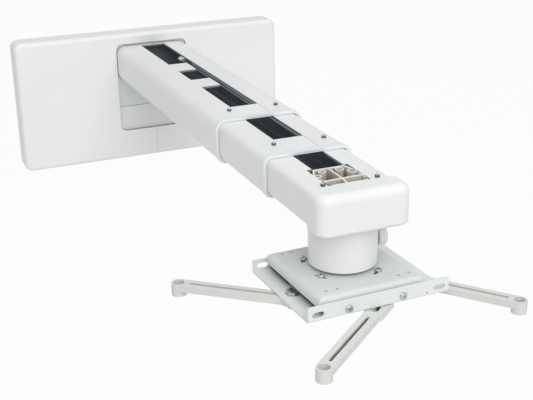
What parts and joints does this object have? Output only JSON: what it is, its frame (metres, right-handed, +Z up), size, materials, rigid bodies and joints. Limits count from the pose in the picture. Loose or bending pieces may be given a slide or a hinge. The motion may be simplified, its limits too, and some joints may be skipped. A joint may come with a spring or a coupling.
{
  "type": "projector wall mount",
  "caption": "Telescoping wall arm with a swivel column, a levelling head and slotted spider arms that hold a projector in front of a wall.",
  "frame": {"origin": "centre of the wall plate's back face, on the wall", "axes": "+Z up, the arm reaches along -Y, +X to the right as seen from in front, looking at the wall"},
  "size_m": [0.464, 0.9422, 0.22],
  "materials": {
    "cover_plastic": "satin moulded",
    "panel_grey": "satin",
    "panel_light": "satin",
    "plate_steel": "powder coat",
    "zinc": "bright zinc",
    "tube_paint": "satin powder coat",
    "collar_plastic": "satin",
    "cap_plastic": "satin",
    "knob_plastic": "satin",
    "casting": "cast, painted",
    "spindle_steel": "turned",
    "head_paint": "powder coat",
    "black_steel": "black coat",
    "arm_paint": "powder coat"
  },
  "bodies": {
    "wall": {"wall_plate": "plate_steel", "arm_flange": "plate_steel", "flange_bolts": "zinc", "cover_posts": "plate_steel", "wall_cover": "cover_plastic", "insert_upper": "panel_grey", "insert_lower": "panel_light", "outer_tube": "tube_paint", "outer_collar": "collar_plastic", "outer_key": "collar_plastic", "outer_lock_screws": "zinc"},
    "middle": {"middle_tube": "tube_paint", "middle_collar": "collar_plastic", "middle_key": "collar_plastic", "middle_lock_screws": "zinc", "stop_rod": "zinc", "stop_nut": "zinc"},
    "inner": {"inner_tube": "tube_paint", "head_casting": "casting", "end_cap": "cap_plastic", "head_screws": "zinc", "column": "tube_paint"},
    "lock": {"lock_knob": "knob_plastic", "lock_stud": "zinc"},
    "swivel": {"spindle": "spindle_steel", "arc_screws": "zinc"},
    "top": {"upper_plate": "head_paint", "pitch_pins": "zinc"},
    "pitch": {"yoke": "black_steel", "tray_screws_front": "zinc", "tray_screws_rear": "zinc"},
    "base": {"tray": "head_paint", "pivot_bolts": "zinc", "pivot_nuts": "zinc"},
    "turn_left": {"guide_left": "spindle_steel"},
    "arm_left": {"arm_left": "arm_paint"},
    "turn_front": {"guide_front": "spindle_steel"},
    "arm_front": {"arm_front": "arm_paint"},
    "turn_right": {"guide_right": "spindle_steel"},
    "arm_right": {"arm_right": "arm_paint"},
    "turn_rear": {"guide_rear": "spindle_steel"},
    "arm_rear": {"arm_rear": "arm_paint"}
  },
  "joints": [
    {"name": "middle_slide", "type": "slide", "parent": "wall", "child": "middle", "axis": [0, -1, 0], "range_m": [-0.104, 0.24]},
    {"name": "inner_slide", "type": "slide", "parent": "middle", "child": "inner", "axis": [0, -1, 0], "range_m": [-0.035, 0.2]},
    {"name": "lock_turn", "type": "hinge", "parent": "inner", "child": "lock", "pos_m": [0.05, -0.7644, 0.003], "axis": [1, 0, 0], "range_deg": [-180, 180]},
    {"name": "head_swivel", "type": "hinge", "parent": "inner", "child": "swivel", "pos_m": [0, -0.7644, -0.01], "axis": [0, 0, 1], "range_deg": [-180, 180]},
    {"name": "fine_turn", "type": "hinge", "parent": "swivel", "child": "top", "pos_m": [0, -0.7644, -0.0235], "axis": [0, 0, 1], "range_deg": [-5, 7.5]},
    {"name": "head_pitch", "type": "hinge", "parent": "top", "child": "pitch", "pos_m": [0, -0.7644, -0.034], "axis": [0.9996, 0.0297, 0], "range_deg": [-4, 4]},
    {"name": "head_roll", "type": "hinge", "parent": "pitch", "child": "base", "pos_m": [0.00115, -0.76437, -0.039], "axis": [-0.0297, 0.9996, 0], "range_deg": [-2.2, 2.2]},
    {"name": "left_turn", "type": "hinge", "parent": "base", "child": "turn_left", "pos_m": [-0.06754, -0.77401, -0.05], "axis": [0, 0, 1], "range_deg": [-25, 25]},
    {"name": "left_reach", "type": "slide", "parent": "turn_left", "child": "arm_left", "axis": [-0.7649, 0.6441, 0], "range_m": [0, 0.019]},
    {"name": "front_turn", "type": "hinge", "parent": "base", "child": "turn_front", "pos_m": [0.01741, -0.82841, -0.05], "axis": [0, 0, 1], "range_deg": [-25, 25]},
    {"name": "front_reach", "type": "slide", "parent": "turn_front", "child": "arm_front", "axis": [-0.7443, -0.6678, 0], "range_m": [-0.019, 0]},
    {"name": "right_turn", "type": "hinge", "parent": "base", "child": "turn_right", "pos_m": [0.06875, -0.77166, -0.05], "axis": [0, 0, 1], "range_deg": [-25, 25]},
    {"name": "right_reach", "type": "slide", "parent": "turn_right", "child": "arm_right", "axis": [0.6088, -0.7934, 0], "range_m": [-0.009, 0.01]},
    {"name": "rear_turn", "type": "hinge", "parent": "base", "child": "turn_rear", "pos_m": [-0.0067, -0.70717, -0.05], "axis": [0, 0, 1], "range_deg": [-25, 25]},
    {"name": "rear_reach", "type": "slide", "parent": "turn_rear", "child": "arm_rear", "axis": [0.549, 0.8358, 0], "range_m": [-0.009, 0.01]}
  ]
}
